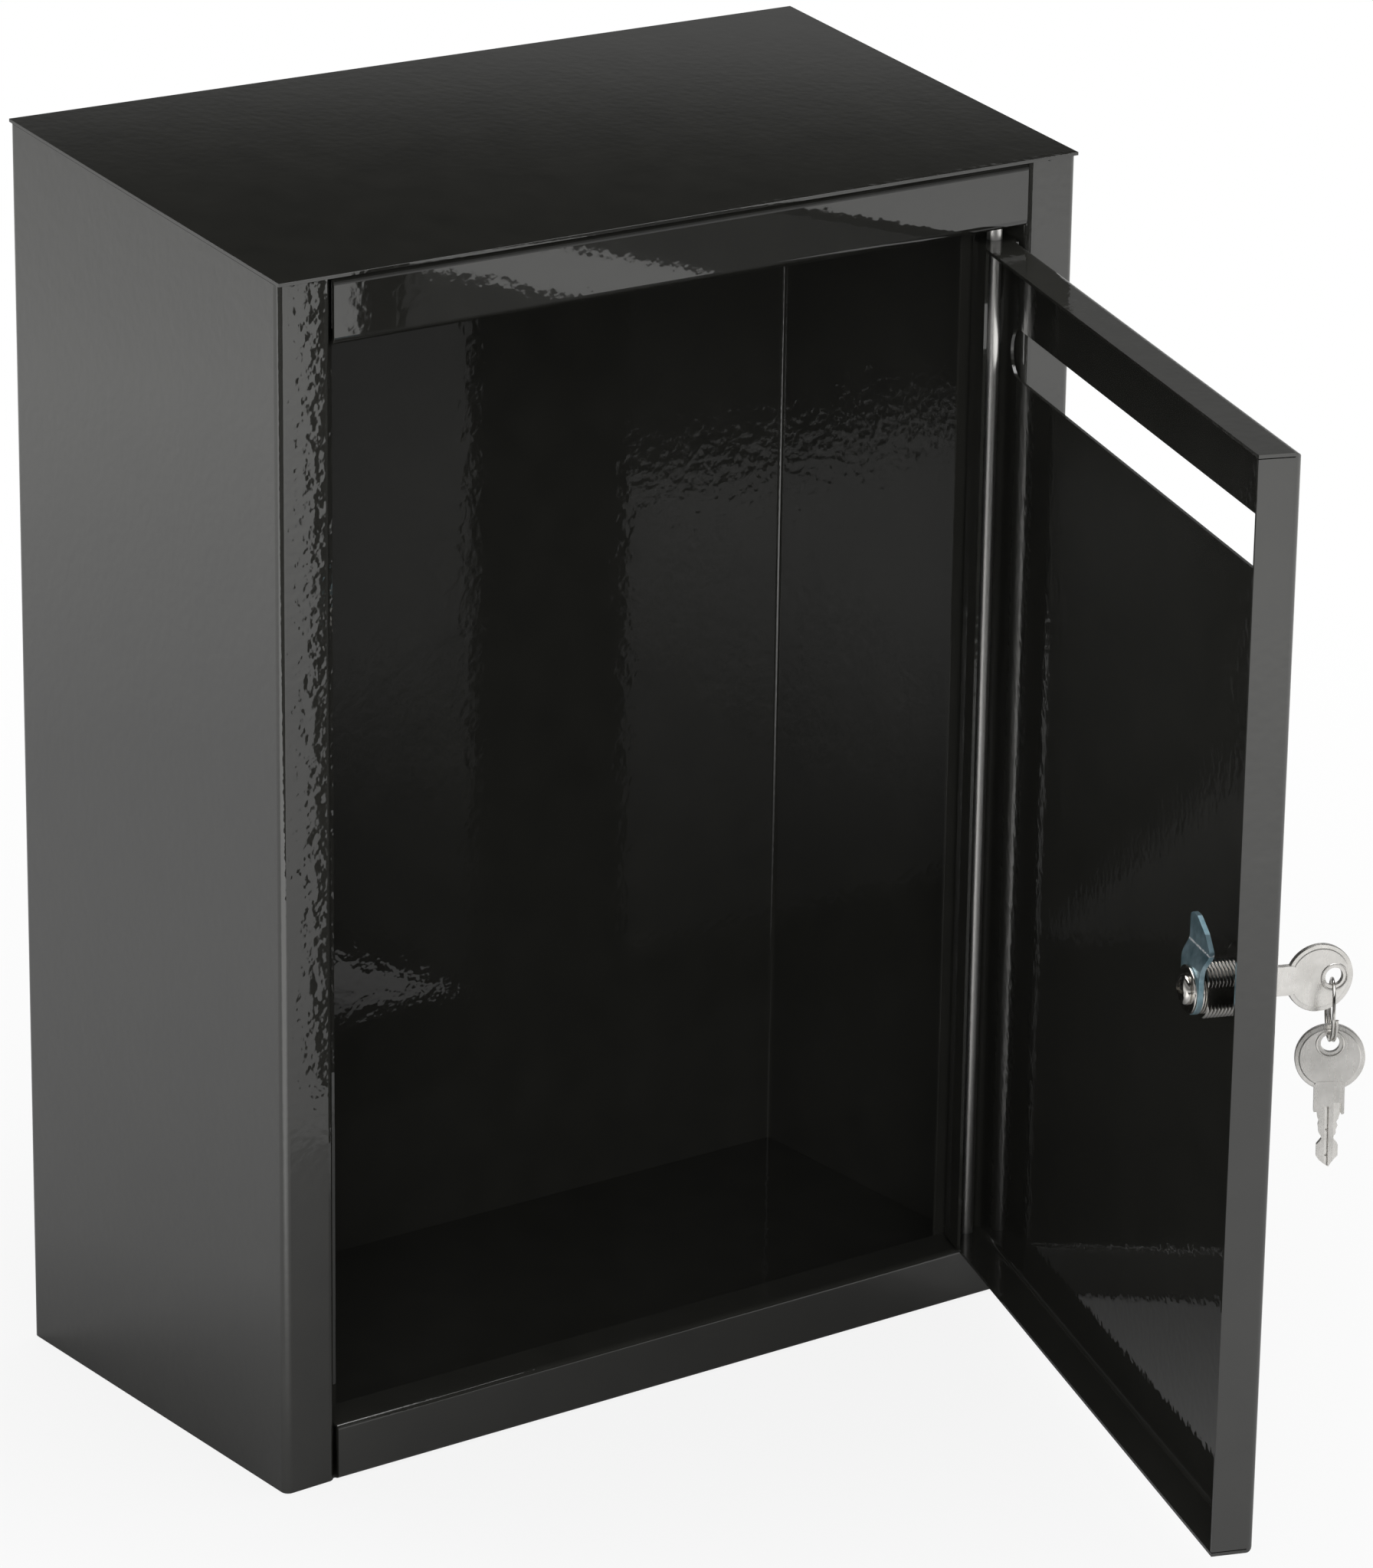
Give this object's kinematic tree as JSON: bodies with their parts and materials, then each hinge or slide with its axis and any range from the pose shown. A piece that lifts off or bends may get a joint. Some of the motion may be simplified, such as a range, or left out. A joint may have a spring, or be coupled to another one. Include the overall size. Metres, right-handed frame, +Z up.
{
  "type": "wall-mounted suggestion box with keyed door",
  "caption": "Wall-hung suggestion box of folded sheet steel with a sloping top, a hinged slotted door, a cam lock and keys on a split ring.",
  "frame": {"origin": "middle of the flat base, on its underside", "axes": "+Z up, -Y out of the front (the door's side), +X to the hinge side, the right as seen from the front"},
  "size_m": [0.3, 0.381, 0.404],
  "materials": {
    "black_paint": "semi-gloss powder coat with fine orange peel",
    "bare_steel": "bright drawn steel",
    "nickel": "bright nickel plate",
    "blue_zinc": "blue-white zinc plate",
    "wafer_brass": "stamped, plain"
  },
  "bodies": {
    "cabinet": {"body_shell": "black_paint", "top_panel": "black_paint", "bottom_panel": "black_paint", "hinge_rod": "bare_steel", "hinge_washer": "bare_steel"},
    "door": {"door_pan": "black_paint", "lock_housing": "nickel", "lock_nut": "nickel"},
    "plug": {"lock_plug": "nickel", "wafer_tumblers": "wafer_brass", "wafer_springs": "bare_steel", "plug_retainer": "wafer_brass", "cam_stop_washer": "nickel", "cam": "blue_zinc", "cam_lock_washer": "nickel", "cam_screw": "nickel"},
    "working_key": {"key": "nickel"},
    "ring": {"split_ring": "nickel"},
    "hanging_key": {"spare_key": "nickel"}
  },
  "joints": [
    {"name": "door_hinge", "type": "hinge", "parent": "cabinet", "child": "door", "pos_m": [0.123, -0.06805, 0.19], "axis": [0, 0, 1], "range_deg": [-69.6, 25.4]},
    {"name": "lock_turn", "type": "hinge", "parent": "door", "child": "plug", "pos_m": [0.04912, -0.28607, 0.1918], "axis": [0.9373, -0.3486, 0], "range_deg": [0, 90]},
    {"name": "key_slide", "type": "slide", "parent": "plug", "child": "working_key", "axis": [0.9373, -0.3486, 0], "range_m": [0, 0.018]},
    {"name": "ring_swing", "type": "hinge", "parent": "working_key", "child": "ring", "pos_m": [0.07293, -0.29493, 0.19045], "axis": [-0.3486, -0.9373, 0], "range_deg": [-10, 60]},
    {"name": "spare_key_swing", "type": "hinge", "parent": "ring", "child": "hanging_key", "pos_m": [0.07293, -0.29493, 0.17225], "axis": [-0.5962, -0.8028, 0], "range_deg": [-12, 40]}
  ]
}
